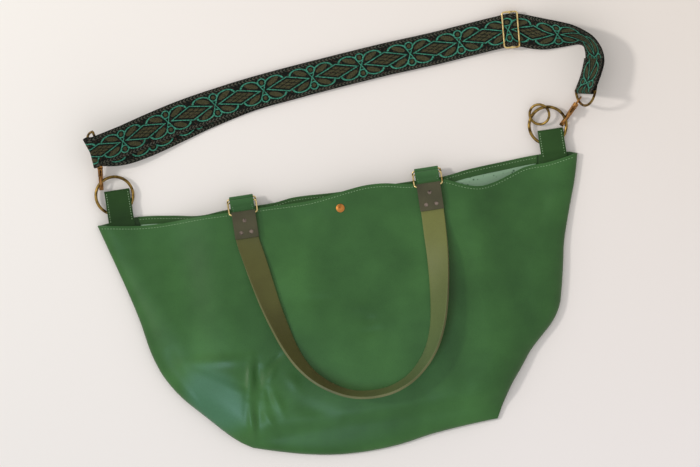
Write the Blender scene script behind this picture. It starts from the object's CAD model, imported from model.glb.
import bpy, bmesh, math
from bisect import bisect_right
from mathutils import Matrix, Vector


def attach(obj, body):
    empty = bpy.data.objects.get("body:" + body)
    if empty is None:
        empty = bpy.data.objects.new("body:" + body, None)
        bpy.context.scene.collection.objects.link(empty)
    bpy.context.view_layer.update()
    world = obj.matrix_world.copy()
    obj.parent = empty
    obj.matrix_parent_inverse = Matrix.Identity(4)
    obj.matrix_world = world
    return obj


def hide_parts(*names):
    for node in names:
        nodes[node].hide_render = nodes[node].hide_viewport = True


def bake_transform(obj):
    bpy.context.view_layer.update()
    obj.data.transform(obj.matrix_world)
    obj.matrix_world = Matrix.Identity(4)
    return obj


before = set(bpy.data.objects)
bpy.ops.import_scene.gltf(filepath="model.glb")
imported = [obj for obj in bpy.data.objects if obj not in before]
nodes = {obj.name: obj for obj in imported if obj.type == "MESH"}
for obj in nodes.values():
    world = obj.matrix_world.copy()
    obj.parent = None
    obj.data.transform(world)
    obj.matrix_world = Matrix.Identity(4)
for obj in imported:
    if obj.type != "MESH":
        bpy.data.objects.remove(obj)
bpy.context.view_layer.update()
print("frame loaded:", len(nodes), "CAD nodes")

mm = 0.001

# camera and floor
photo = {"centre": (6.7, 236.9), "turn": 8.67, "width": 819.0}


def makeCamera():
    cameraData = bpy.data.cameras.new("photoCamera")
    cameraData.type = "ORTHO"
    cameraData.ortho_scale = photo["width"] * mm
    camera = bpy.data.objects.new("photoCamera", cameraData)
    bpy.context.scene.collection.objects.link(camera)
    camera.location = (photo["centre"][0] * mm, photo["centre"][1] * mm, 2.0)
    camera.rotation_euler = (0, 0, math.radians(-photo["turn"]))
    bpy.context.scene.camera = camera


def fromPhoto(across, down, z=0.0):
    # the point of the row frame, in mm, that the camera sees at this pixel of the 700 by 467 picture
    scale, turn = photo["width"] / 700, math.radians(photo["turn"])
    dx, dy = (across - 350) * scale, (233.5 - down) * scale
    return Vector((photo["centre"][0] + dx * math.cos(turn) + dy * math.sin(turn),
                   photo["centre"][1] - dx * math.sin(turn) + dy * math.cos(turn), z))


def hexColour(text, alpha=1.0):
    parts = [int(text[i:i + 2], 16) / 255 for i in (1, 3, 5)]
    return tuple(c / 12.92 if c <= 0.04045 else ((c + 0.055) / 1.055) ** 2.4 for c in parts) + (alpha,)


def addNode(tree, kind, settings=None, links=None):
    # adds one node, sets its fields or a ramp's colour stops, then fills its inputs with values or links
    node = tree.nodes.new(kind)
    for key, value in (settings or {}).items():
        if key == "stops":
            elements = node.color_ramp.elements
            while len(elements) < len(value):
                elements.new(0.5)
            for element, (place, colour) in zip(elements, value):
                element.position, element.color = place, hexColour(colour)
        else:
            setattr(node, key, value)
    for key, value in (links or {}).items():
        if isinstance(value, bpy.types.NodeSocket):
            tree.links.new(value, node.inputs[key])
        else:
            node.inputs[key].default_value = value
    return node


def newMaterial(name):
    material = bpy.data.materials.new(name)
    material.use_nodes = True
    tree = material.node_tree
    tree.nodes.clear()
    shader = addNode(tree, "ShaderNodeBsdfPrincipled")
    addNode(tree, "ShaderNodeOutputMaterial", {}, {"Surface": shader.outputs[0]})
    return material, tree, shader


# shape of the bag
# lengths in mm; shares of the height or width run from 0 to 1
bag = {
    "width": 568.0, "height": 290.0, "leather": 1.8, "baseCorners": ((-143, 6), (145, -3)),
    "bellyGap": 18.0, "mouthGap": 9.0, "gapFrom": 0.45, "gapOver": 0.5,
    "roundSides": (90, 16), "roundBase": 0.3, "stillSides": 40, "stillBase": 0.12,
    "grid": {1: (220, 124), -1: (150, 84)}, "edgeRound": 0.5,
}
backRise = {"halfWidth": 145, "fadeOver": 60, "start": 10, "full": 34, "length": 211, "low": 4.6, "high": 9}
halfWidth, bagHeight = bag["width"] / 2, bag["height"]
leftSide = [(6, -143), (13, -154), (54, -196), (77, -217), (104, -234), (119, -240), (132, -244),
            (174, -252), (208, -260.5), (290, -284)]
rightSide = [(-3, 145), (14, 154), (34, 167), (53, 182), (70, 195), (85, 210.5), (99, 225),
             (115, 235.5), (137, 242), (165, 248), (190, 253), (225, 264), (263, 277), (290, 284)]
baseEdge = [(-143, 6), (-120, -1), (-85, -10), (-50, -16), (-14, -18), (25, -16), (69, -9),
            (132, -3.5), (145, -3)]
frontMouth = [(-284, 290), (-226, 282), (-156, 283), (-132, 282.5), (-88, 282.5), (-33, 282),
              (-16, 284), (9, 287.5), (33, 290), (55, 289), (84, 283.5), (126, 282.5), (149, 273),
              (165, 269), (183, 271), (202, 277), (221, 283), (249, 284.5), (284, 290)]
backMouth = [(-284, 290), (-236, 293.5), (-196, 289), (-163, 284), (-132, 286), (-74, 286),
             (-54, 288.5), (-3, 287), (88, 286.5), (126, 286.5), (152, 290), (196, 293),
             (239, 295), (274, 293), (284, 290)]


def along(table, x):
    # smooth curve through a table of (x, y)
    xs = [p[0] for p in table]
    i = min(max(bisect_right(xs, x) - 1, 0), len(table) - 2)
    x = min(max(x, xs[0]), xs[-1])

    def slope(k):
        if k <= 0 or k >= len(table) - 1:
            a, b = (0, 1) if k <= 0 else (-2, -1)
            return (table[b][1] - table[a][1]) / (table[b][0] - table[a][0])
        before = (table[k][1] - table[k - 1][1]) / (xs[k] - xs[k - 1])
        after = (table[k + 1][1] - table[k][1]) / (xs[k + 1] - xs[k])
        return (before + after) / 2

    span = xs[i + 1] - xs[i]
    t = (x - xs[i]) / span
    return ((2 * t ** 3 - 3 * t ** 2 + 1) * table[i][1] + (t ** 3 - 2 * t ** 2 + t) * span * slope(i)
            + (3 * t ** 2 - 2 * t ** 3) * table[i + 1][1] + (t ** 3 - t ** 2) * span * slope(i + 1))


def ease(t):
    return 0 if t <= 0 else 1 if t >= 1 else (1 - math.cos(math.pi * t)) / 2


def mix(a, b, t):
    return a + (b - a) * t


def sidePoint(table, v):
    y = mix(table[0][0], bagHeight, v)
    return along(table, y), y


def patchPoint(mouth, u, v):
    (leftX, leftY), (rightX, rightY) = bag["baseCorners"]
    bx = mix(leftX, rightX, u)
    tx = mix(-halfWidth, halfWidth, u)
    bottom, top = (bx, along(baseEdge, bx)), (tx, along(mouth, tx))
    left, right = sidePoint(leftSide, v), sidePoint(rightSide, v)
    c00, c10 = bag["baseCorners"]
    c01, c11 = (-halfWidth, bagHeight), (halfWidth, bagHeight)
    return tuple(
        (1 - v) * bottom[k] + v * top[k] + (1 - u) * left[k] + u * right[k]
        - ((1 - u) * (1 - v) * c00[k] + u * (1 - v) * c10[k] + (1 - u) * v * c01[k] + u * v * c11[k])
        for k in (0, 1))


def underside(x, y):
    # the back panel rides up on the back handle that lies under it
    fade = 1 - ease((abs(x) - backRise["halfWidth"]) / backRise["fadeOver"])
    start, full = backRise["start"], backRise["full"]
    if y > full:
        return fade * mix(backRise["low"], backRise["high"], min(1, (y - full) / backRise["length"]))
    return fade * backRise["low"] * ease((y - start) / (full - start))


def roundOver(s, w):
    return 1 if s >= w else math.sqrt(max(0, 1 - (1 - s / w) ** 2))


def gapAt(u, v):
    edge = min(u, 1 - u) * bag["width"]
    deep = mix(bag["bellyGap"], bag["mouthGap"], ease((v - bag["gapFrom"]) / bag["gapOver"]))
    return roundOver(edge, mix(*bag["roundSides"], v)) * roundOver(v, bag["roundBase"]) * deep


# soft creases of the front, by their ends in the picture: (x1, y1, x2, y2, half width in mm, height in mm)
creasePlaces = [
    (251.5, 356, 249, 402, 4.2, 2.9), (249, 396, 254, 447, 4.4, 3.2), (184, 363, 252, 359, 6, 1.6),
    (257, 360, 260, 396, 4.6, -3.0), (259, 396, 258, 438, 5.5, -2.0), (284, 352, 266, 369, 3.4, -2.2),
    (276, 364, 268, 384, 3.4, 1.7), (266, 384, 271, 408, 3.2, -1.6), (272, 390, 284, 416, 4.4, 1.5),
    (262, 408, 276, 432, 4.6, 1.2), (286, 372, 300, 392, 6, 1.2), (290, 402, 345, 420, 9, -1.3),
    (165, 345, 178, 372, 8, -1.1),
    (262, 212, 250, 262, 10, 1.2), (310, 205, 305, 222, 5, -1.2), (325, 208, 320, 226, 6, -0.9),
    (298, 302, 335, 298, 6, -1.1), (360, 322, 378, 318, 5, -1.3), (355, 334, 385, 329, 5, -1.1),
    (300, 262, 280, 296, 14, 0.9), (372, 300, 352, 312, 6, 0.8), (120, 232, 128, 268, 9, -0.9),
    (150, 232, 168, 300, 12, 0.8), (470, 220, 462, 300, 14, -0.8), (520, 200, 505, 290, 14, 0.8),
    (545, 180, 540, 240, 8, -0.9), (425, 400, 470, 380, 12, 0.9), (500, 330, 540, 300, 12, -0.8)]
creases = []
for x1, y1, x2, y2, w, h in creasePlaces:
    head, tail = fromPhoto(x1, y1), fromPhoto(x2, y2)
    creases.append((head.x, head.y, tail.x, tail.y, w, h))

facet = {"level": (-175, 60), "slope": (0.06375, 0.0425), "blend": 9,
         "corners": [fromPhoto(u, v) for u, v in ((158, 352), (186, 363), (251, 360), (249, 400),
                                                  (253, 445), (205, 418))]}


def facetHeight(x, y):
    # the folded corner of the base: a flat face that leans to the lower left
    deep = 1e9
    corners = facet["corners"]
    for a, b in zip(corners, corners[1:] + corners[:1]):
        side = b - a
        deep = min(deep, -(side.x * (y - a.y) - side.y * (x - a.x)) / side.length)
    if deep <= 0:
        return 0
    lean = (x - facet["level"][0]) * facet["slope"][0] + (y - facet["level"][1]) * facet["slope"][1]
    return ease(min(deep / facet["blend"], 1)) * lean


def creaseHeight(x, y):
    total = facetHeight(x, y)
    for x1, y1, x2, y2, w, h in creases:
        dx, dy = x2 - x1, y2 - y1
        t = min(max(((x - x1) * dx + (y - y1) * dy) / (dx * dx + dy * dy), 0), 1)
        d = math.hypot(x - x1 - t * dx, y - y1 - t * dy)
        fade = math.sin(math.pi * min(max(t, 0.08), 0.92))
        total += h * fade * math.exp(-(d / w) ** 2)
    return total


def swell(x, y):
    # slow waves of soft leather lying loose, under 1.2 mm high and 50 to 300 mm long
    return (0.55 * math.sin(x / 47 + 0.8) * math.sin(y / 61 + 1.9)
            + 0.35 * math.sin(x / 23 + y / 37) + 0.22 * math.sin(y / 19 - x / 71 + 2.2))


def frontTop(x, y, u, v):
    lively = roundOver(min(u, 1 - u) * bag["width"], bag["stillSides"]) * roundOver(v, bag["stillBase"])
    calm = min(1, (1 - v) * 8)  # the mouth keeps its measured height
    return (underside(x, y) + 2 * bag["leather"] + gapAt(u, v)
            + lively * calm * (creaseHeight(x, y) + swell(x, y)))


def uOf(x, y):
    v = min(max(y / bagHeight, 0), 1)
    left, right = sidePoint(leftSide, v)[0], sidePoint(rightSide, v)[0]
    return (x - left) / (right - left), v


def topAt(x, y):
    u, v = uOf(x, y)
    return frontTop(x, y, u, v)


def finishMesh(name, bm, materials, body, replaced=()):
    mesh = bpy.data.meshes.new(name)
    bm.to_mesh(mesh)
    bm.free()
    piece = bpy.data.objects.new(name, mesh)
    bpy.context.scene.collection.objects.link(piece)
    for material in materials:
        mesh.materials.append(material)
    for polygon in mesh.polygons:
        polygon.use_smooth = True
    if body:
        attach(piece, body)
    if replaced:
        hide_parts(*replaced)
    return piece


def gridPiece(columns, rows, place):
    # a flat grid whose points are moved to place(s, t), with s and t kept as its UV map
    bm = bmesh.new()
    bmesh.ops.create_grid(bm, x_segments=columns, y_segments=rows, size=1)
    layer = bm.loops.layers.uv.new("UVMap")
    for vert in bm.verts:
        vert.co = ((vert.co.x + 1) / 2, (vert.co.y + 1) / 2, 0)
    for face in bm.faces:
        for loop in face.loops:
            loop[layer].uv = loop.vert.co.x, loop.vert.co.y
    for vert in bm.verts:
        vert.co = Vector(place(vert.co.x, vert.co.y)) * mm
    return bm


def addSolidify(piece, thickness, offset=-1, rim=None):
    solid = piece.modifiers.new("thickness", "SOLIDIFY")
    solid.thickness = thickness * mm
    solid.offset = offset
    solid.use_even_offset = False
    if rim is not None:
        solid.material_offset_rim = rim
    return solid


def addBevel(piece, width, segments=2, angle=50):
    bevel = piece.modifiers.new("edges", "BEVEL")
    bevel.width = width * mm
    bevel.segments = segments
    bevel.limit_method = "ANGLE"
    bevel.angle_limit = math.radians(angle)
    return bevel


# materials
def perMm(size):
    # the scale of a pattern whose grain, thread or patch is this many mm
    return 1 / (size * mm)


def leatherMaterial(name, tones, grain, roughness, bump, gloss=0.2, worn=None, bloom=None):
    # drum-dyed cowhide: pebble cells of the grain's size, patches of tone a hand wide,
    # pores under half a mm and a waxy sheen
    material, tree, shader = newMaterial(name)
    place = addNode(tree, "ShaderNodeTexCoord").outputs["Object"]
    patches = addNode(tree, "ShaderNodeTexNoise", {}, {"Vector": place, "Scale": perMm(71.43), "Detail": 3.0})
    pebble = addNode(tree, "ShaderNodeTexVoronoi", {"feature": "DISTANCE_TO_EDGE"},
                     {"Vector": place, "Scale": perMm(grain)})
    pores = addNode(tree, "ShaderNodeTexNoise", {}, {"Vector": place, "Scale": perMm(0.4545), "Detail": 2.0})
    colour = addNode(tree, "ShaderNodeValToRGB", {"stops": list(zip((0.3, 0.5, 0.72), tones))},
                     {0: patches.outputs[0]}).outputs[0]
    if bloom:  # wax that has risen on a stretched corner: its middle, reach, turn and tone
        middle, reach, turn, tone = bloom
        spot = addNode(tree, "ShaderNodeMapping", {"vector_type": "TEXTURE"},
                       {0: place, 1: middle * mm, 2: (0, 0, math.radians(turn)), 3: [r * mm for r in reach]})
        ball = addNode(tree, "ShaderNodeTexGradient", {"gradient_type": "SPHERICAL"}, {0: spot.outputs[0]})
        cover = addNode(tree, "ShaderNodeMapRange", {"interpolation_type": "SMOOTHSTEP"},
                        {0: ball.outputs[0], 1: 0.0, 2: 0.42, 3: 0.0, 4: 0.85})
        colour = addNode(tree, "ShaderNodeMix", {"data_type": "RGBA"},
                         {0: cover.outputs[0], 6: colour, 7: hexColour(tone)}).outputs[2]
    if worn:  # the dye has faded and browned along the strap: its length and tone stops
        length, stops = worn
        uv = addNode(tree, "ShaderNodeTexCoord").outputs["UV"]
        split = addNode(tree, "ShaderNodeSeparateXYZ", {}, {0: uv})
        share = addNode(tree, "ShaderNodeMath", {"operation": "DIVIDE"}, {0: split.outputs[0], 1: length})
        tone = addNode(tree, "ShaderNodeValToRGB", {"stops": stops}, {0: share.outputs[0]})
        colour = addNode(tree, "ShaderNodeMix", {"data_type": "RGBA"},
                         {0: 0.7, 6: colour, 7: tone.outputs[0]}).outputs[2]
    cells = addNode(tree, "ShaderNodeValToRGB", {"stops": [(0.0, "#8c8c8c"), (0.12, "#ffffff")]},
                    {0: pebble.outputs[0]})
    fine = addNode(tree, "ShaderNodeMix", {"data_type": "RGBA", "blend_type": "MULTIPLY"},
                   {0: 0.35, 6: colour, 7: cells.outputs[0]})
    height = addNode(tree, "ShaderNodeMath", {"operation": "MULTIPLY_ADD"},
                     {0: pores.outputs[0], 1: 0.35, 2: pebble.outputs[0]})
    relief = addNode(tree, "ShaderNodeBump", {},
                     {"Height": height.outputs[0], "Strength": bump, "Distance": 0.0004})
    polish = addNode(tree, "ShaderNodeMapRange", {},
                     {0: patches.outputs[0], 1: 0.3, 2: 0.7, 3: roughness - 0.05, 4: roughness + 0.07})
    tree.links.new(fine.outputs[2], shader.inputs["Base Color"])
    tree.links.new(polish.outputs[0], shader.inputs["Roughness"])
    tree.links.new(relief.outputs[0], shader.inputs["Normal"])
    shader.inputs["Specular IOR Level"].default_value = gloss
    return material


def metalMaterial(name, colour, dark, roughness, wear):
    # cast and plated: a cloudy patina of 6 mm spots, rubbed bright, with fine scratches about 1 mm apart
    material, tree, shader = newMaterial(name)
    place = addNode(tree, "ShaderNodeTexCoord").outputs["Object"]
    cloud = addNode(tree, "ShaderNodeTexNoise", {}, {"Vector": place, "Scale": perMm(6.25), "Detail": 4.0})
    scratch = addNode(tree, "ShaderNodeTexNoise", {}, {"Vector": place, "Scale": perMm(1.111), "Detail": 2.0})
    stops = [(0.35, dark), (0.35 + 0.3 * wear, colour), (1.0, colour)]
    patina = addNode(tree, "ShaderNodeValToRGB", {"stops": stops}, {0: cloud.outputs[0]})
    relief = addNode(tree, "ShaderNodeBump", {},
                     {"Height": scratch.outputs[0], "Strength": 0.12, "Distance": 0.0002})
    gloss = addNode(tree, "ShaderNodeMapRange", {},
                    {0: cloud.outputs[0], 1: 0.3, 2: 0.7, 3: roughness + 0.1, 4: roughness})
    tree.links.new(patina.outputs[0], shader.inputs["Base Color"])
    tree.links.new(gloss.outputs[0], shader.inputs["Roughness"])
    tree.links.new(relief.outputs[0], shader.inputs["Normal"])
    shader.inputs["Metallic"].default_value = 1.0
    return material


def threadMaterial(name, colour):
    # waxed polyester thread: matt, its twist drawn 0.7 mm coarse so that it shows
    material, tree, shader = newMaterial(name)
    place = addNode(tree, "ShaderNodeTexCoord").outputs["Object"]
    twist = addNode(tree, "ShaderNodeTexNoise", {}, {"Vector": place, "Scale": perMm(0.6667)})
    tint = addNode(tree, "ShaderNodeValToRGB", {"stops": [(0.3, colour), (0.8, "#e6eee0")]},
                   {0: twist.outputs[0]})
    mixed = addNode(tree, "ShaderNodeMix", {"data_type": "RGBA"},
                    {0: 0.25, 6: hexColour(colour), 7: tint.outputs[0]})
    tree.links.new(mixed.outputs[2], shader.inputs["Base Color"])
    shader.inputs["Roughness"].default_value = 0.6
    return material


def liningMaterial():
    # sage cotton twill: a small dark print 6 mm apart, the twill drawn coarse so that it shows
    material, tree, shader = newMaterial("liningTwill")
    place = addNode(tree, "ShaderNodeTexCoord").outputs["Object"]
    marks = addNode(tree, "ShaderNodeTexVoronoi", {"feature": "F1"},
                    {"Vector": place, "Scale": perMm(5.882), "Randomness": 0.9})
    weave = addNode(tree, "ShaderNodeTexWave", {"bands_direction": "DIAGONAL"},
                    {0: place, "Scale": perMm(2.381)})
    marked = addNode(tree, "ShaderNodeValToRGB", {"stops": [(0.16, "#44634a"), (0.26, "#84a488")]},
                     {0: marks.outputs[0]})
    shade = addNode(tree, "ShaderNodeMix", {"data_type": "RGBA", "blend_type": "MULTIPLY"},
                    {0: 0.12, 6: marked.outputs[0], 7: weave.outputs[0]})
    relief = addNode(tree, "ShaderNodeBump", {},
                     {"Height": weave.outputs[1], "Strength": 0.3, "Distance": 0.0002})
    tree.links.new(shade.outputs[2], shader.inputs["Base Color"])
    tree.links.new(relief.outputs[0], shader.inputs["Normal"])
    shader.inputs["Roughness"].default_value = 0.85
    return material


jacquard = {
    "repeat": 59.0,  # mm from flower to flower
    # ovals about a flower's heart: (along, over, two radii, turn in degrees)
    "ovals": {"curl": (14.4, 6.8, 11.0, 6.6, 6), "bud": (0.0, 9.4, 4.6, 4.3, 0),
              "petal": (13.0, 8.0, 8.0, 2.7, 24), "seed": (0.0, 9.2, 2.1, 2.3, 0)},
    "ground": [(0.12, "#4a342c"), (0.3, "#221c17"), (0.42, "#0f1510"), (0.9, "#0a0f0c")],
    "yarns": {"olive": ("#2f301c", "#4c4a35"), "braid": ("#262c25", "#5c5c51"),
              "teal": ("#1b5745", "#4b9a82")},
    "picks": (1.1, 1.0),
}


def webbingMaterial():
    # cotton jacquard webbing, 38 mm: raised teal outlines and olive fills on a near-black ground with
    # braided borders; the picks are drawn 1.1 mm coarse so that they show
    material, tree, shader = newMaterial("jacquardWebbing")
    split = addNode(tree, "ShaderNodeSeparateXYZ", {}, {0: addNode(tree, "ShaderNodeTexCoord").outputs["UV"]})
    point = addNode(tree, "ShaderNodeTexCoord").outputs["Object"]
    fuzz = addNode(tree, "ShaderNodeTexNoise", {}, {"Vector": point, "Scale": perMm(1.4286), "Detail": 2.0})
    value = {"along": split.outputs[0], "over": split.outputs[1], "fuzz": fuzz.outputs[0]}
    half, circle = jacquard["repeat"] / 2, 2 * math.pi
    layout = [  # each row is one sum: (result, operation, inputs)
        ("stray", "SUBTRACT", "fuzz", 0.5),
        ("run", "ADD", "along", "stray"),       # mm along the strap, 0 at a flower's heart
        ("side", "ADD", "over", "stray"),
        ("a", "PINGPONG", "run", half),         # mm from the nearest flower
        ("b", "SUBTRACT", half, "a"),           # mm from the nearest diamond's middle
        ("w", "ABSOLUTE", "side"),              # mm from the middle line
        ("bShare", "DIVIDE", "b", 25.0), ("wShare", "DIVIDE", "w", 8.4),
        ("rhomb", "ADD", "bShare", "wShare"),
        ("skew", "SUBTRACT", "bShare", "wShare"), ("crossed", "ABSOLUTE", "skew")]
    figures = [
        ("field", "LESS_THAN", "w", 14.4),
        ("diamond", "COMPARE", "rhomb", 1.0, 0.07),
        ("curlEdge", "COMPARE", "curl", 1.0, 0.1), ("outer", "GREATER_THAN", "w", 8.2),
        ("petalLine", "MULTIPLY", "curlEdge", "outer"),
        ("slant", "MULTIPLY_ADD", "w", -0.5, "a"), ("bar", "COMPARE", "slant", 0.2, 0.62),
        ("inner", "LESS_THAN", "w", 9.5), ("heart", "MULTIPLY", "bar", "inner"),
        ("budLine", "COMPARE", "bud", 1.0, 0.15),
        ("large", "MAXIMUM", "diamond", "petalLine"), ("small", "MAXIMUM", "heart", "budLine"),
        ("lines", "MAXIMUM", "large", "small"), ("teal", "MULTIPLY", "lines", "field"),
        ("kernel", "LESS_THAN", "rhomb", 0.68), ("rungs", "COMPARE", "rhomb", 0.23, 0.045),
        ("rails", "COMPARE", "crossed", 0.23, 0.045), ("grid", "MAXIMUM", "rungs", "rails"),
        ("between", "SUBTRACT", 1.0, "grid"), ("cells", "MULTIPLY", "kernel", "between"),
        ("leaf", "LESS_THAN", "petal", 1.0), ("dot", "LESS_THAN", "seed", 1.0),
        ("filled", "MAXIMUM", "leaf", "dot"), ("fills", "MAXIMUM", "filled", "cells"),
        ("open", "SUBTRACT", "field", "teal"), ("olive", "MULTIPLY", "fills", "open"),
        ("pastField", "GREATER_THAN", "w", 14.5), ("inEdge", "LESS_THAN", "w", 18.5),
        ("border", "MULTIPLY", "pastField", "inEdge"),
        ("offset", "SUBTRACT", "w", 16.5), ("lean", "ABSOLUTE", "offset"),
        ("chevron", "MULTIPLY_ADD", "lean", 1.2, "run"), ("zigzag", "PINGPONG", "chevron", 2.1),
        ("stripe", "LESS_THAN", "zigzag", 0.85), ("braid", "MULTIPLY", "border", "stripe"),
        ("warpTurn", "MULTIPLY", "along", circle / jacquard["picks"][0]), ("warp", "SINE", "warpTurn"),
        ("weftTurn", "MULTIPLY", "over", circle / jacquard["picks"][1]), ("weft", "SINE", "weftTurn"),
        ("pick", "MULTIPLY", "warp", "weft"),
        ("lowYarn", "MAXIMUM", "olive", "braid"), ("lowRaised", "MULTIPLY", "lowYarn", 0.6),
        ("raised", "MAXIMUM", "teal", "lowRaised"), ("height", "MULTIPLY_ADD", "pick", 0.3, "raised")]
    for rows in (layout, figures):
        for result, operation, *inputs in rows:
            value[result] = addNode(tree, "ShaderNodeMath", {"operation": operation},
                                    {k: value.get(v, v) for k, v in enumerate(inputs)}).outputs[0]
        if rows is layout:
            spot = addNode(tree, "ShaderNodeCombineXYZ", {}, {0: value["a"], 1: value["w"]}).outputs[0]
            for name, (cx, cy, first, second, turn) in jacquard["ovals"].items():
                turned = addNode(tree, "ShaderNodeMapping", {"vector_type": "TEXTURE"},
                                 {0: spot, 1: (cx, cy, 0), 2: (0, 0, math.radians(turn)),
                                  3: (first, second, 1)})
                value[name] = addNode(tree, "ShaderNodeVectorMath", {"operation": "LENGTH"},
                                      {0: turned.outputs[0]}).outputs["Value"]
    specks = addNode(tree, "ShaderNodeTexVoronoi", {"feature": "F1"}, {"Vector": point, "Scale": perMm(2.381)})
    colour = addNode(tree, "ShaderNodeValToRGB", {"stops": jacquard["ground"]},
                     {0: specks.outputs[0]}).outputs[0]
    for yarn, shades in jacquard["yarns"].items():
        tone = addNode(tree, "ShaderNodeValToRGB", {"stops": list(zip((0.32, 0.68), shades))},
                       {0: value["fuzz"]})
        colour = addNode(tree, "ShaderNodeMix", {"data_type": "RGBA"},
                         {0: value[yarn], 6: colour, 7: tone.outputs[0]}).outputs[2]
    relief = addNode(tree, "ShaderNodeBump", {},
                     {"Height": value["height"], "Strength": 0.5, "Distance": 0.0004})
    tree.links.new(colour, shader.inputs["Base Color"])
    tree.links.new(relief.outputs[0], shader.inputs["Normal"])
    shader.inputs["Roughness"].default_value = 0.75
    shader.inputs["Specular IOR Level"].default_value = 0.12
    return material


# smooth full-grain cowhide, drum-dyed green and waxed: soft highlights, bluish wax on the stretched corner
bodyLeather = leatherMaterial("smoothGreenLeather", ("#284c21", "#305727", "#39632e"), 0.9, 0.38, 0.1, 0.27,
                              bloom=(fromPhoto(218, 398), (58, 40, 60), -54.0, "#3d654a"))
loopLeather = leatherMaterial("loopGreenLeather", ("#2f5530", "#386236", "#416c3f"), 0.9, 0.4, 0.12)
tabLeather = leatherMaterial("darkGreenLeather", ("#1c3a15", "#234419", "#2c5022"), 0.9, 0.42, 0.12)
# bridle leather, dyed olive: browned and faded by the hand along its length
handleLeather = leatherMaterial("oliveLeather", ("#3f3d1e", "#53542c", "#6a6d3a"), 0.8, 0.42, 0.25, worn=(
    640.0, [(0.0, "#4c4822"), (0.2, "#4d4822"), (0.36, "#5a5232"), (0.46, "#586240"), (0.56, "#576945"),
            (0.72, "#5f6638"), (0.88, "#736f39")]))
chapeLeather = leatherMaterial("greyOliveLeather", ("#343424", "#454432", "#585640"), 0.8, 0.42, 0.25)
# acrylic edge paint on cut leather: an even, rounded, slightly glossy bead
edgePaint = leatherMaterial("paintedEdge", ("#4d4b2e", "#5d5b39", "#6c6948"), 1.5, 0.45, 0.15)
tabEdge = leatherMaterial("tabEdgePaint", ("#1c3719", "#264526", "#305233"), 1.5, 0.4, 0.08)
bodyEdge = leatherMaterial("bodyEdgePaint", ("#2b4f2a", "#365c34", "#436a40"), 1.5, 0.4, 0.08)
# zinc casting with a copper-bronze plate, and brass-plated wire: both gone dark in the hollows
bronze = metalMaterial("antiqueBronze", "#ab7b45", "#4f331b", 0.28, 0.7)
oldBrass = metalMaterial("antiqueBrass", "#93783f", "#3d2c14", 0.28, 0.7)
# steel wire with a bright pale gold plate: clean and smooth
paleGold = metalMaterial("paleGoldWire", "#dcc48a", "#9c7f45", 0.2, 0.5)
# a tubular copper rivet whose nickel plate has gone dull, and a brass snap cap rubbed matt
copper = metalMaterial("copperRivet", "#8d7f76", "#4d443f", 0.5, 0.5)
snapGold = metalMaterial("snapGold", "#c58545", "#8a5a2b", 0.5, 0.5)
paleThread = threadMaterial("paleGreenThread", "#7fa274")
darkThread = threadMaterial("darkGreenThread", "#5c8a5e")
liningCloth = liningMaterial()
webbing = webbingMaterial()
print("materials ready")

# panels, hems and lining
def panelPlace(side, s, t):
    u = (1 - math.cos(math.pi * s)) / 2
    mouth = frontMouth if side > 0 else backMouth
    x, y = patchPoint(mouth, u, t)
    if side > 0:
        return x, y, frontTop(x, y, u, t)
    return x, y, underside(x, y)


def makePanel(name, side, replaced):
    bm = gridPiece(*bag["grid"][side], lambda s, t: panelPlace(side, s, t))
    if side < 0:
        bmesh.ops.reverse_faces(bm, faces=bm.faces)
    piece = finishMesh(name, bm, [bodyLeather, bodyEdge], "bag", replaced)
    addSolidify(piece, bag["leather"], rim=1)
    addBevel(piece, bag["edgeRound"])
    return piece


frontPanel = makePanel("frontPanel", 1, ["front_panel"])
makePanel("backPanel", -1, ["back_panel"])

mouthTab = {"x": (-113.0, 106.0), "width": 28.0, "thick": 1.5, "clear": 18.0, "leaf": 22, "loop": 2.1,
            "stitchSide": 11.4, "stitchStart": 3.2, "stitchPitch": 2.6, "stitchLift": 1.85}
hem = {"ends": (-236.5, 237.5), "step": 3, "deep": 12 / 290, "thick": 1.1, "edgeRound": 0.4,
       "inset": 0.35, "ripple": (0.15, 40)}
lining = {"half": 236, "foot": 0.07, "top": (0.945, 0.967), "inset": 2.0, "thick": 0.5,
          "grid": (110, 60), "ripple": (0.25, 9, 15)}


def innerPlace(side, x0, v, inset):
    u = x0 / bag["width"] + 0.5
    x, y = patchPoint(frontMouth if side > 0 else backMouth, u, v)
    base = underside(x, y) + bag["leather"]
    return x, y, base + (gapAt(u, v) - inset if side > 0 else inset)


def makeHem(name, side, replaced):
    # three runs between the mouth's tabs
    marks = [hem["ends"][0]]
    for x in mouthTab["x"]:
        marks += [x - mouthTab["clear"], x + mouthTab["clear"]]
    marks.append(hem["ends"][1])
    size, pace = hem["ripple"]
    whole = bmesh.new()
    for start, end in zip(marks[::2], marks[1::2]):
        bm = gridPiece(int((end - start) / hem["step"]), 6,
                       lambda s, t: innerPlace(side, mix(start, end, s), mix(1 - hem["deep"], 1, t),
                                               hem["inset"] + size * math.sin(s * pace)))
        mesh = bpy.data.meshes.new("run")
        if side > 0:
            bmesh.ops.reverse_faces(bm, faces=bm.faces)
        bm.to_mesh(mesh)
        bm.free()
        whole.from_mesh(mesh)
        bpy.data.meshes.remove(mesh)
    piece = finishMesh(name, whole, [bodyLeather, bodyEdge], "bag", replaced)
    addSolidify(piece, hem["thick"], offset=1, rim=1)
    addBevel(piece, hem["edgeRound"])


makeHem("frontHem", 1, ["hem_front"])
makeHem("backHem", -1, ["hem_back"])


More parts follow.
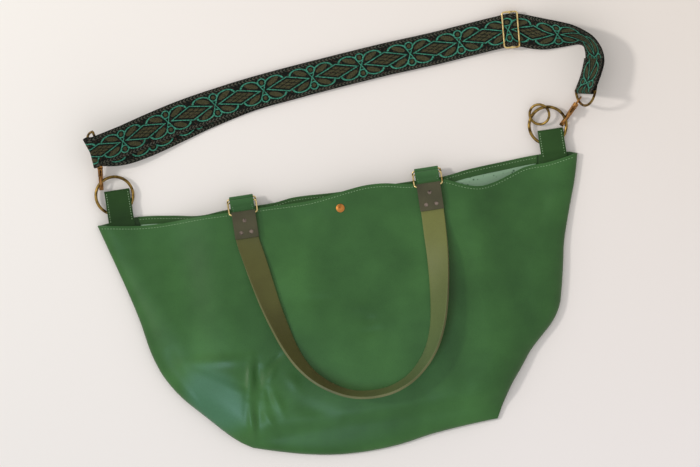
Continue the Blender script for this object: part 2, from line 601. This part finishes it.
def makeLining(name, side, replaced):
    size, across, down = lining["ripple"]

    def place(s, t):
        x0 = mix(-lining["half"], lining["half"], s)
        near = min(abs(x0 - x) for x in mouthTab["x"])
        top = mix(*lining["top"], min(max((near - mouthTab["clear"]) / 3, 0), 1))  # lower behind the tabs
        x, y, z = innerPlace(side, x0, mix(lining["foot"], top, t), lining["inset"])
        return x, y, z - side * size * math.sin(x0 / across + y / down)

    bm = gridPiece(*lining["grid"], place)
    if side > 0:
        bmesh.ops.reverse_faces(bm, faces=bm.faces)
    piece = finishMesh(name, bm, [liningCloth], "bag", replaced)
    addSolidify(piece, lining["thick"], offset=0)


makeLining("frontLining", 1, ["lining_front"])
makeLining("backLining", -1, ["lining_back"])
print("body made")


# stitches
rimStitch = {"pitch": 3.4, "size": (2.3, 0.36), "innerLift": 1.45,
             "outer": (3.6, [(-280, 281)]), "inner": (3.4, [(-234, -133), (-93, 86), (126, 235)])}


def addStitches(bm, points, length, radius):
    # one short rounded stitch at each (middle, direction)
    for middle, heading in points:
        made = bmesh.ops.create_icosphere(bm, subdivisions=1, radius=radius * mm)["verts"]
        stretch = Matrix.Scale(length / 2 / radius, 4, Vector((1, 0, 0)))
        turn = heading.to_track_quat("X", "Z").to_matrix().to_4x4()
        bmesh.ops.transform(bm, matrix=Matrix.Translation(middle * mm) @ turn @ stretch, verts=made)


def rimStitches(side, inset, first, last):
    points = []
    x = first
    while x < last:
        here = []
        for step in (-1, 1):
            u = (x + step) / bag["width"] + 0.5
            mouth = frontMouth if side > 0 else backMouth
            v = 1 - inset / bagHeight
            px, py = patchPoint(mouth, u, v)
            lift = bag["leather"] + gapAt(u, v) if side > 0 else rimStitch["innerLift"]
            here.append(Vector((px, py, underside(px, py) + bag["leather"] + lift)))
        points.append(((here[0] + here[1]) / 2, (here[1] - here[0]).normalized()))
        x += rimStitch["pitch"]
    return points


stitchMesh = bmesh.new()
for side, (inset, runs) in ((1, rimStitch["outer"]), (-1, rimStitch["inner"])):
    for start, end in runs:
        addStitches(stitchMesh, rimStitches(side, inset, start, end), *rimStitch["size"])
finishMesh("rimStitching", stitchMesh, [paleThread], "bag", ())


# bands of leather and webbing
def bandPiece(name, stations, width, thickness, materials, body, replaced, crossSegments=8,
              crown=0.0, edgeRound=0.45, rim=1, start=None):
    # a strip swept through stations of (middle, across, normal) in mm
    lengths = [0.0]
    for a, b in zip(stations, stations[1:]):
        lengths.append(lengths[-1] + (b[0] - a[0]).length)
    last = len(stations) - 1
    if start is not None:  # the pattern's zero lies at the station nearest to this point
        origin = lengths[min(range(len(stations)), key=lambda k: (stations[k][0] - start).length)]
        lengths = [length - origin for length in lengths]

    def at(s):
        k = min(int(round(s * last)), last)
        return stations[k], lengths[k]

    bm = bmesh.new()
    bmesh.ops.create_grid(bm, x_segments=last, y_segments=crossSegments, size=1)
    layer = bm.loops.layers.uv.new("UVMap")
    places = {}
    for vert in bm.verts:
        (middle, across, normal), run = at((vert.co.x + 1) / 2)
        share = vert.co.y
        rise = crown * (1 - share ** 2)
        places[vert.index] = (run, share * width / 2)
        vert.co = (middle + across * share * width / 2 + normal * (thickness / 2 + rise)) * mm
    bm.verts.index_update()
    for face in bm.faces:
        for loop in face.loops:
            loop[layer].uv = places[loop.vert.index]
    bmesh.ops.recalc_face_normals(bm, faces=bm.faces)
    bm.faces.ensure_lookup_table()
    middleFace = bm.faces[0]
    nearest = min(stations, key=lambda st: (st[0] * mm - middleFace.calc_center_median()).length)
    if middleFace.normal.dot(nearest[2]) < 0:
        bmesh.ops.reverse_faces(bm, faces=bm.faces)
    piece = finishMesh(name, bm, materials, body, replaced)
    addSolidify(piece, thickness, rim=rim)
    if edgeRound:
        addBevel(piece, edgeRound, 3, 60)
    return piece


def framesAlong(points, acrossList):
    stations = []
    for i, point in enumerate(points):
        ahead = (points[min(i + 1, len(points) - 1)] - points[max(i - 1, 0)]).normalized()
        across = acrossList[i]
        across = (across - ahead * across.dot(ahead)).normalized()
        stations.append((point, across, ahead.cross(across)))
    return stations


def curveThrough(points, t):
    last = len(points) - 1
    i = min(int(t), last - 1)
    f = t - i
    a, b, c, d = points[max(i - 1, 0)], points[i], points[i + 1], points[min(i + 2, last)]
    return tuple(0.5 * (2 * q + (r - p) * f + (2 * p - 5 * q + 4 * r - w) * f * f
                        + (3 * q - p - 3 * r + w) * f ** 3) for p, q, r, w in zip(a, b, c, d))


# each bar is (y, z) of a ring's wire
handle = {"width": 27.0, "thick": 3.0, "crown": 0.35, "steps": 150,
          "bar1": (293.4, 17.8), "bar2": (278.601, 25.75), "barStart": 3,
          "liftFrom": 44, "liftOver": 40, "rest": (2.05, 0.7), "leanRise": (14, 1.5)}
backHandle = {"bar1": (297.2, 12.8), "bar2": (282.093, 5.45), "bend": 109.5, "drop": 236, "shift": -3.5,
              "floorZ": 1.9, "mouth": 290}
chape = {"width": 28, "thick": 1.6, "leaf": 29.0, "loop": 2.45, "edgeRound": 0.5}
# points of the front strap's middle: (x, y below the mouth, lean on its edge in degrees)
handleRoute = [
    (-113, -18, 0), (-112.8, -42, 0), (-109, -64, 8), (-104, -92, 22), (-98.5, -120, 34),
    (-92, -146, 44), (-84, -172, 54), (-74, -194, 62), (-60, -213, 68), (-42, -228, 72),
    (-20, -239, 74), (4, -243, 74), (28, -241, 74), (50, -232, 72), (68, -217, 68), (82, -198, 62),
    (92, -174, 54), (98, -148, 44), (102, -120, 34), (104.5, -92, 22), (105.5, -64, 8),
    (106, -42, 0), (106, -18, 0)]


def makeFrontHandle():
    last = len(handleRoute) - 1
    bar2 = handle["bar2"]
    ends = [Vector((x, bar2[0] - handle["barStart"], bar2[1])) for x in mouthTab["x"]]
    points = ends[:1]
    acrosses = [Vector((-1, 0, 0))]
    for k in range(handle["steps"] + 1):
        t = k * last / handle["steps"]
        x, y, lean = curveThrough(handleRoute, t)
        ax, ay, _ = curveThrough(handleRoute, max(0, t - 0.05))
        bx, by, _ = curveThrough(handleRoute, min(last - 1e-6, t + 0.05))
        flat = Vector((by - ay, -(bx - ax), 0)).normalized()
        lean = math.radians(max(0, lean))
        start = ease((-y - handle["liftFrom"]) / handle["liftOver"])
        rest = topAt(x, bagHeight + y) + mix(*handle["rest"], start)
        raised = rest + handle["leanRise"][0] * math.sin(lean) + handle["leanRise"][1] * math.cos(lean)
        points.append(Vector((x, bagHeight + y, mix(bar2[1], raised, start))))
        acrosses.append(flat * math.cos(lean) + Vector((0, 0, math.sin(lean))))
    points += ends[1:]
    acrosses.append(Vector((1, 0, 0)))
    return bandPiece("frontHandle", framesAlong(points, acrosses), handle["width"], handle["thick"],
                     [handleLeather, edgePaint], "front_handle", ["front_handle_strap"],
                     crossSegments=10, crown=handle["crown"])


frontHandle = makeFrontHandle()


backReach = backHandle["drop"] + backHandle["bar2"][0] - backHandle["mouth"]
backSlope = math.asin((backHandle["bar2"][1] - backHandle["floorZ"]) / backReach)


def makeBackHandle():
    bar2, r = backHandle["bar2"], backHandle["bend"]
    start = handle["barStart"]
    arm = backReach - r - start
    points, acrosses = [], []
    path = [(-r, -start - arm * k / 40) for k in range(41)]
    turns = [math.pi * k / 60 for k in range(1, 60)]
    path += [(-r * math.cos(a), -start - arm - r * math.sin(a)) for a in turns]
    path += [(r, -start - arm + arm * k / 40) for k in range(41)]
    for i, (x, y) in enumerate(path):
        points.append(Vector((x + backHandle["shift"], bar2[0] + y * math.cos(backSlope),
                              bar2[1] + y * math.sin(backSlope))))
        a, b = path[max(i - 1, 0)], path[min(i + 1, len(path) - 1)]
        acrosses.append(Vector((b[1] - a[1], -(b[0] - a[0]), 0)))
    bandPiece("backHandle", framesAlong(points, acrosses), handle["width"], handle["thick"],
              [handleLeather, edgePaint], "back_handle", ["back_handle_strap"])


makeBackHandle()


def foldedStations(x, centre, radius, leaf, slope=0.0, squeeze=None):
    # leaf, turn round a bar and leaf again, in the plane of y and z
    points = [(-leaf + leaf * k / 12, radius) for k in range(13)]
    for k in range(1, 16):
        a = math.pi / 2 - math.pi * k / 16
        points.append((radius * math.cos(a), radius * math.sin(a)))
    points += [(-leaf * k / 12, -radius) for k in range(13)]
    if squeeze:
        points = [(y, z * squeeze(-y)) for y, z in points]
    c, s = math.cos(slope), math.sin(slope)
    return framesAlong([Vector((x, centre[0] + y * c - z * s, centre[1] + y * s + z * c)) for y, z in points],
                       [Vector((-1, 0, 0))] * len(points))


def makeChape(name, x, bar, body, node, slope=0.0):
    stations = foldedStations(x, bar, chape["loop"], chape["leaf"], slope=slope)
    bandPiece(name, stations, chape["width"], chape["thick"], [chapeLeather, chapeLeather], body, [node],
              crossSegments=10, edgeRound=chape["edgeRound"])


for label, x in zip(("Left", "Right"), mouthTab["x"]):
    low = label.lower()
    makeChape("frontChape" + label, x, handle["bar2"], "front_handle", "front_chape_" + low)
    makeChape("backChape" + label, x, backHandle["bar2"], "back_handle", "back_chape_" + low, backSlope)


def tabSqueeze(y):
    # the leaves close together behind the ring's bar
    return 1 - 0.56 * ease((y - 1.5) / 5)


ahead = Vector((0, 1, 0))
tabStitch = bmesh.new()
for label, x in zip(("Left", "Right"), mouthTab["x"]):
    for place, bar in (("front", handle["bar1"]), ("back", backHandle["bar1"])):
        stations = foldedStations(x, bar, mouthTab["loop"], mouthTab["leaf"], squeeze=tabSqueeze)
        bandPiece(place + "Tab" + label, stations, mouthTab["width"], mouthTab["thick"],
                  [loopLeather, tabEdge], "bag", [place + "_tab_" + label.lower()],
                  crossSegments=10)
        y, z = bar[0] - mouthTab["stitchStart"], bar[1] + mouthTab["stitchLift"]
        rows = [(Vector((x + way * mouthTab["stitchSide"], y - mouthTab["stitchPitch"] * k, z)), ahead)
                for way in (-1, 1) for k in range(4)]
        addStitches(tabStitch, rows, 1.7, 0.34)
finishMesh("tabStitching", tabStitch, [darkThread], "bag", ())


# side tabs, one leather piece each across the bend at the mouth
sideTab = {"x": (-255.5, 256.5), "line": 291.0, "z": 6.3, "free": (37.5, 31.5), "width": 30.0, "thick": 1.7,
           "loop": 3.0, "loopStart": 5.9, "ripple": 0.35, "stitchSide": 12.6, "stitchPitch": 2.9,
           "blend": (0.2885, 0.2945)}
# where the leaves lie closed: (y from the hinge line, z from the middle)
tabRoot = [(-20, 0.95), (-14, 0.95), (-7, 0.95), (-3, 0.95), (0, 1.0), (2.4, 1.6), (4.8, 2.6)]


def makeSideTab(label, x, free):
    half, first = sideTab["loop"], sideTab["loopStart"]
    far = free - half - 0.9
    steps = 12
    points = tabRoot + [(first + (far - first) * k / steps, half) for k in range(steps + 1)]
    leaf = points[::-1]
    turns = [math.pi * k / 12 for k in range(1, 12)]
    points += [(far + half * math.sin(a), half * math.cos(a)) for a in turns]
    points += [(y, -z) for y, z in leaf]
    points = [(y, z + sideTab["ripple"] * math.sin(y / 6.5) * (y > 6 and z > 0)) for y, z in points]
    stations = framesAlong([Vector((x, sideTab["line"] + y, sideTab["z"] + z)) for y, z in points],
                           [Vector((-1, 0, 0))] * len(points))
    replaced = ["side_tab_root_" + label.lower(), "side_tab_" + label.lower()]
    piece = bandPiece("sideTab" + label, stations, sideTab["width"], sideTab["thick"], [tabLeather, tabEdge],
                      None, replaced, crossSegments=10)
    thread = bmesh.new()
    rows = [(Vector((x + way * sideTab["stitchSide"], sideTab["line"] + 1.5 + sideTab["stitchPitch"] * k,
                     sideTab["z"] + 2.2 + min(k, 2) * 0.9)), ahead)
            for way in (-1, 1) for k in range(int(free / sideTab["stitchPitch"]))]
    addStitches(thread, rows, 1.9, 0.5)
    return piece, finishMesh("sideTabStitching" + label, thread, [paleThread], None, ())


sideTabs = [makeSideTab(*tab) for tab in zip(("Left", "Right"), sideTab["x"], sideTab["free"])]

# shoulder webbing
strap = {"width": 38.0, "thick": 1.6, "flap": (5, 42), "flapLift": 1.85, "foldRadius": 2.6, "step": 0.2,
         "leftOut": (-0.97, -0.22, 0)}
slider = {"at": (228.6, 444.4, 3.3), "turn": -4, "foldRadius": 2.2, "tail": (0.996, 0.087, 0),
          "tailSteps": ((6, 1.9), (13, 0.1), (22, -0.35))}
# what the right hook holds: a D ring (bar and bow) that stands in the webbing's right end
rightHook = {"at": (275.9, 331.0, 6.3), "turn": -43.6, "rise": 2.0, "length": 27.0, "ringHalf": 22.1,
             "ringDeep": 17.0, "slide": -15.0, "bar": (20, -4, 34), "bow": (-0.2, -1, 0)}
# points of the webbing's middle: (x, y above the mouth, z, lean on its edge in degrees)
upperRoute = [
    (310, 80, 20, 59), (316, 92, 19, 57), (320.5, 104, 17.8, 56), (320.8, 115, 18.5, 60),
    (317, 126, 19, 66), (308.5, 133.5, 18.5, 64), (297, 138, 17, 52), (281, 141, 13.5, 36),
    (266, 143.5, 10.4, 20), (252, 147.5, 7, 8), (241, 151.5, 6.6, 2), (229, 154.4, 7.6, 0),
    (216, 153.4, 6.6, 0), (204, 152.4, 5.2, 0), (190, 151, 4.1, 0), (168, 149, 3.7, 0),
    (134, 145.8, 3.7, 0), (84, 142.5, 3.7, 0), (50, 139.6, 3.7, 0), (17, 136.5, 3.7, 0),
    (-34, 131.5, 3.7, 0), (-85, 125.5, 3.7, 0), (-136, 117.5, 4.4, 2), (-170, 111, 6.8, 6),
    (-205, 102.5, 12.6, 12), (-232, 95.5, 19.4, 19), (-250, 91.4, 24.4, 23), (-268, 87.6, 28.2, 26),
    (-276, 85.8, 28.8, 28)]
lowerRoute = [
    (-276.4, 86.9, 23.0, 28), (-268.6, 86.4, 23.0, 26), (-250, 84.0, 19.2, 22), (-232, 85.5, 14.6, 16),
    (-205, 92.0, 8.4, 9), (-170, 102.5, 4, 5), (-136, 112.5, 1.8, 2), (-85, 124.5, 1.5, 0),
    (-34, 131, 1.5, 0), (17, 136.5, 1.5, 0), (50, 139.6, 1.5, 0),
    (84, 142.5, 1.5, 0), (134, 145.8, 1.5, 0), (168, 149, 1.5, 0), (198, 151.8, 1.3, 0),
    (219, 153.6, 1.1, 0)]


def routePart(route, way):
    points, acrosses = [], []
    last = len(route) - 1
    count = int(last / strap["step"])
    for k in range(count + 1):
        t = k * last / count
        x, y, z, lean = curveThrough(route, min(t, last - 1e-6))
        a = curveThrough(route, max(0, t - 0.05))
        b = curveThrough(route, min(last - 1e-6, t + 0.05))
        flat = Vector((b[1] - a[1], -(b[0] - a[0]), 0)).normalized() * way
        points.append(Vector((x, bagHeight + y, z)))
        acrosses.append(flat * math.cos(math.radians(lean)) + Vector((0, 0, math.sin(math.radians(lean)))))
    return points, acrosses


def ringMiddle(bar, bow):
    # where the D ring's bar has its middle, from where the hook's eye holds its bow
    turn, rise = math.radians(90 + rightHook["turn"]), math.radians(rightHook["rise"])
    eye = Vector(rightHook["at"]) + rightHook["length"] * Vector(
        (math.cos(turn) * math.cos(rise), math.sin(turn) * math.cos(rise), math.sin(rise)))
    half, deep, slide = rightHook["ringHalf"], rightHook["ringDeep"], rightHook["slide"]
    radius = (half ** 2 + deep ** 2) / (2 * deep)
    return eye - slide * bar - (math.sqrt(radius ** 2 - slide ** 2) - (radius - deep)) * bow


def makeWebbing():
    points, acrosses = [], []
    bar, bow = Vector(rightHook["bar"]).normalized(), Vector(rightHook["bow"]).normalized()
    right, rightUp = ringMiddle(bar, bow), bow.cross(bar)

    def add(point, across):
        points.append(point)
        acrosses.append(across)

    # the sewn flap lies on the layer that leaves the ring
    behind = routePart([(right.x, right.y - bagHeight, right.z, 59)] + upperRoute[:5], 1)
    flap, covered = [], 0.0
    for i, (point, across, normal) in enumerate(framesAlong(*behind)):
        covered += (point - behind[0][i - 1]).length if i else 0
        if strap["flap"][0] < covered < strap["flap"][1]:
            flap.append((point + strap["flapLift"] * normal * (1 if normal.dot(rightUp) > 0 else -1), across))
    for point, across in reversed(flap):
        add(point, across)
    for k in range(13):
        a = math.pi * k / 12
        add(right + strap["foldRadius"] * (math.cos(a) * rightUp + math.sin(a) * bow), bar)
    upper, lower = routePart(upperRoute, 1), routePart(lowerRoute, -1)
    points += upper[0]
    acrosses += upper[1]
    # the loose loop at the left hides the D ring that hangs in it
    leftOut = Vector(strap["leftOut"]).normalized()
    centre, half = (upper[0][-1] + lower[0][0]) / 2, (upper[0][-1] - lower[0][0]) / 2
    for k in range(1, 12):
        a = math.pi * k / 12
        add(centre + math.cos(a) * half + math.sin(a) * half.length * leftOut, upper[1][-1])
    points += lower[0]
    acrosses += lower[1]
    # round the slider's middle bar and back under itself
    turn, at = math.radians(slider["turn"]), Vector(slider["at"])
    sx, sy = Vector((math.cos(turn), math.sin(turn), 0)), Vector((-math.sin(turn), math.cos(turn), 0))
    for k in range(13):
        a = -math.pi / 2 + math.pi * k / 12
        add(at + slider["foldRadius"] * (math.cos(a) * sx + Vector((0, 0, math.sin(a)))), sy)
    for back, z in slider["tailSteps"]:
        add(at - back * Vector(slider["tail"]) + Vector((0, 0, z)), sy)
    bandPiece("shoulderWebbing", framesAlong(points, acrosses), strap["width"], strap["thick"],
              [webbing, webbing], "shoulder_strap", ["strap_webbing"], crossSegments=16,
              edgeRound=0.5, start=fromPhoto(121.3, 140.2, 24))


makeWebbing()
print("straps made")

# hardware keeps its CAD shape
finishes = {
    bronze: ["hook_left", "hook_right", "hook_bolt_left", "hook_bolt_right", "swivel_eye_left",
             "swivel_eye_right"],
    oldBrass: ["round_ring_left", "round_ring_right", "small_ring", "d_ring_left", "d_ring_right",
               "snap_cap_back", "snap_socket", "snap_stud"],
    snapGold: ["snap_cap_front"],
    paleGold: ["front_ring_left", "front_ring_right", "back_ring_left", "back_ring_right",
               "slider_frame", "slider_bar"],
    copper: ["front_handle_rivets", "back_handle_rivets"],
}
for material, names in finishes.items():
    for name in names:
        data = nodes[name].data
        data.materials.clear()
        data.materials.append(material)

# side tabs bend with the strap
for piece, threadPiece in sideTabs:
    for part in (piece, threadPiece):
        start, end = ((0, y, sideTab["z"] * mm) for y in sideTab["blend"])
        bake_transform(part)

# floor, lamps and world
stage = {"floorSize": 3.0, "floorAt": (0, 0.2, -0.0004), "frame": (0.819, 0.546, 1),
         "farTones": [(0.0, "#f8f5f1"), (0.4, "#f1ece8"), (1.0, "#e5ded8")],
         "nearTones": [(0.0, "#edebea"), (1.0, "#e9e5e5")],
         "window": {"place": (-1.6, 0.75, 1.55), "target": (0, 0.2, 0), "energy": 1.0,
                    "size": math.radians(7), "colour": "#fffaf4"},
         "sky": {"place": (-0.55, -0.50, 1.25), "target": (-0.13, 0.07, 0), "energy": 10.0,
                 "size": 0.45, "colour": "#b4dcec"},
         "world": ("#f6f4f2", 0.85)}


def makeStage():
    bm = bmesh.new()
    bmesh.ops.create_grid(bm, x_segments=2, y_segments=2, size=stage["floorSize"])
    bmesh.ops.translate(bm, vec=stage["floorAt"], verts=bm.verts)
    mesh = bpy.data.meshes.new("floor")
    bm.to_mesh(mesh)
    bm.free()
    floor = bpy.data.objects.new("floor", mesh)
    bpy.context.scene.collection.objects.link(floor)
    material, tree, shader = newMaterial("warmWhiteFloor")
    place = addNode(tree, "ShaderNodeMapping", {"vector_type": "TEXTURE"},
                    {0: addNode(tree, "ShaderNodeTexCoord").outputs["Object"],
                     1: fromPhoto(0, 467) * mm, 2: (0, 0, math.radians(-photo["turn"])), 3: stage["frame"]})
    parts = addNode(tree, "ShaderNodeSeparateXYZ", {}, {0: place.outputs[0]}).outputs
    near, far = (addNode(tree, "ShaderNodeValToRGB", {"stops": stage[key]}, {0: parts[0]}).outputs[0]
                 for key in ("nearTones", "farTones"))
    colour = addNode(tree, "ShaderNodeMix", {"data_type": "RGBA"}, {0: parts[1], 6: near, 7: far}).outputs[2]
    tree.links.new(colour, shader.inputs["Base Color"])
    shader.inputs["Roughness"].default_value = 0.7
    shader.inputs["Specular IOR Level"].default_value = 0.2
    mesh.materials.append(material)


def addLamp(name, kind, place, target, energy, size, colour):
    data = bpy.data.lights.new(name, kind)
    data.energy = energy
    data.color = hexColour(colour)[:3]
    if kind == "AREA":
        data.size = size
    else:
        data.angle = size
    lamp = bpy.data.objects.new(name, data)
    bpy.context.scene.collection.objects.link(lamp)
    lamp.location = place
    lamp.rotation_euler = (Vector(target) - Vector(place)).to_track_quat("-Z", "Y").to_euler()
    return lamp


makeCamera()
makeStage()
addLamp("windowKey", "SUN", **stage["window"])
skyLamp = addLamp("skyFill", "AREA", **stage["sky"])  # a bluish sheen on the leather alone
skyLit = bpy.data.collections.new("skyLit")
for piece in (frontPanel, frontHandle):
    skyLit.objects.link(piece)
skyLamp.light_linking.receiver_collection = skyLit
world = bpy.data.worlds.new("studio")
bpy.context.scene.world = world
world.use_nodes = True
background = world.node_tree.nodes["Background"]
background.inputs[0].default_value = hexColour(stage["world"][0])
background.inputs[1].default_value = stage["world"][1]
bpy.context.scene.view_settings.view_transform = "Standard"
print("stage ready")
